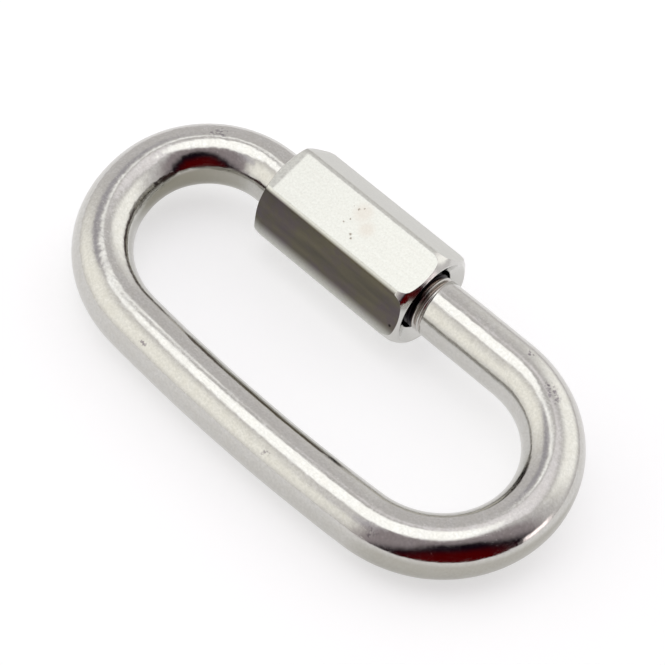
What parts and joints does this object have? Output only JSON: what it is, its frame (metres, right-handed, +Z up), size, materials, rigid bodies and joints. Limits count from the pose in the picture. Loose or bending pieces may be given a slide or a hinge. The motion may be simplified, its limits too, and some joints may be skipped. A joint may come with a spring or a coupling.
{
  "type": "chain quick link",
  "caption": "Open oval link of round stainless bar whose gap is bridged by a long hexagon screw nut; joins the ends of chain or rope and locks when the nut is turned.",
  "frame": {"origin": "on the ground, below the middle of the link's outline", "axes": "+X along the long axis of the link and along the thread, the way the nut opens; +Y towards the side with the nut; +Z up, out of the face that the link shows when it lies flat"},
  "size_m": [0.077, 0.0406, 0.0146],
  "materials": {
    "polished_bar": "tumbled and polished stainless steel, slightly uneven where it was bent",
    "satin_nut": "stainless steel with satin flats and bright turned ends"
  },
  "bodies": {
    "link": {"link_bar": "polished_bar"},
    "nut": {"sleeve_nut": "satin_nut"}
  },
  "joints": [
    {"name": "nut_travel", "type": "slide", "parent": "link", "child": "nut", "axis": [1, 0, 0], "range_m": [0, 0.012]}
  ]
}
